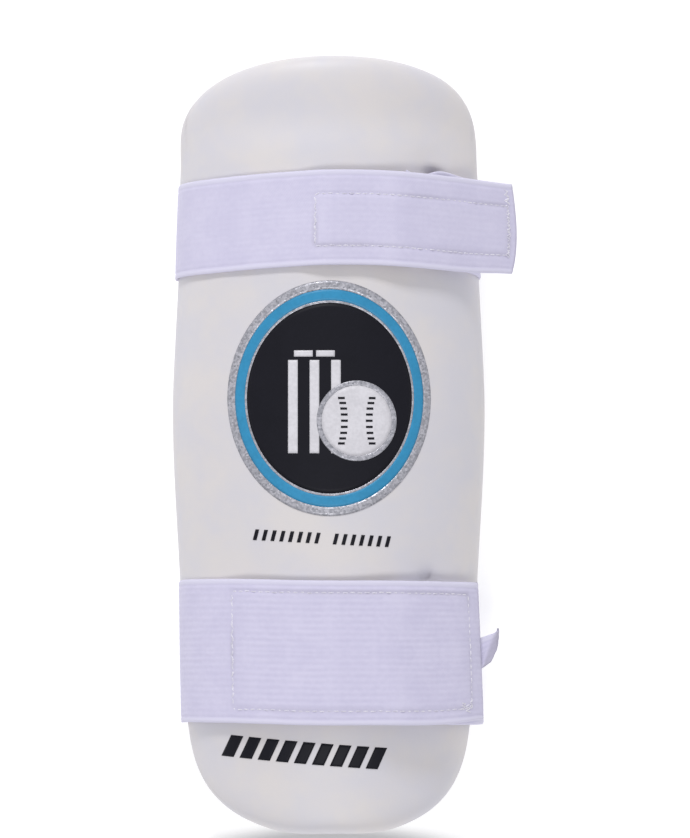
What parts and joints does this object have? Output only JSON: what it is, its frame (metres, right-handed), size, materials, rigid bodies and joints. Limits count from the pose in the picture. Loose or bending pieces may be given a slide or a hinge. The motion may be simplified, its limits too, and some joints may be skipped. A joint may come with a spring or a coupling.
{
  "type": "cricket elbow guard",
  "caption": "Moulded foam elbow and forearm guard, an arched half tube with a rolled rim, closed by a narrow and a wide elastic strap.",
  "frame": {"origin": "middle of the footprint, on the surface that the backs of the two straps lie on", "axes": "+X across the arm towards the straps' free ends, +Y along the arm towards the end with the narrow strap, +Z out through the padded face"},
  "size_m": [0.124, 0.2776, 0.056],
  "materials": {
    "foam_skin": "smooth matt off-white polyurethane skin moulded over foam",
    "elastic_webbing": "matt lilac-white ribbed elastic with bright rolled selvedges",
    "hook_tape": "matt white woven tape with fine nylon hooks",
    "print_film": "thin satin transfer prints in black, blue, white and glittering silver",
    "sewing_thread": "white polyester thread with a slight gloss"
  },
  "bodies": {
    "root": {"pad": "foam_skin", "upper_strap": "elastic_webbing", "upper_hook_patch": "hook_tape", "lower_strap": "elastic_webbing", "lower_hook_patch": "hook_tape", "side_tab": "elastic_webbing"}
  },
  "joints": []
}
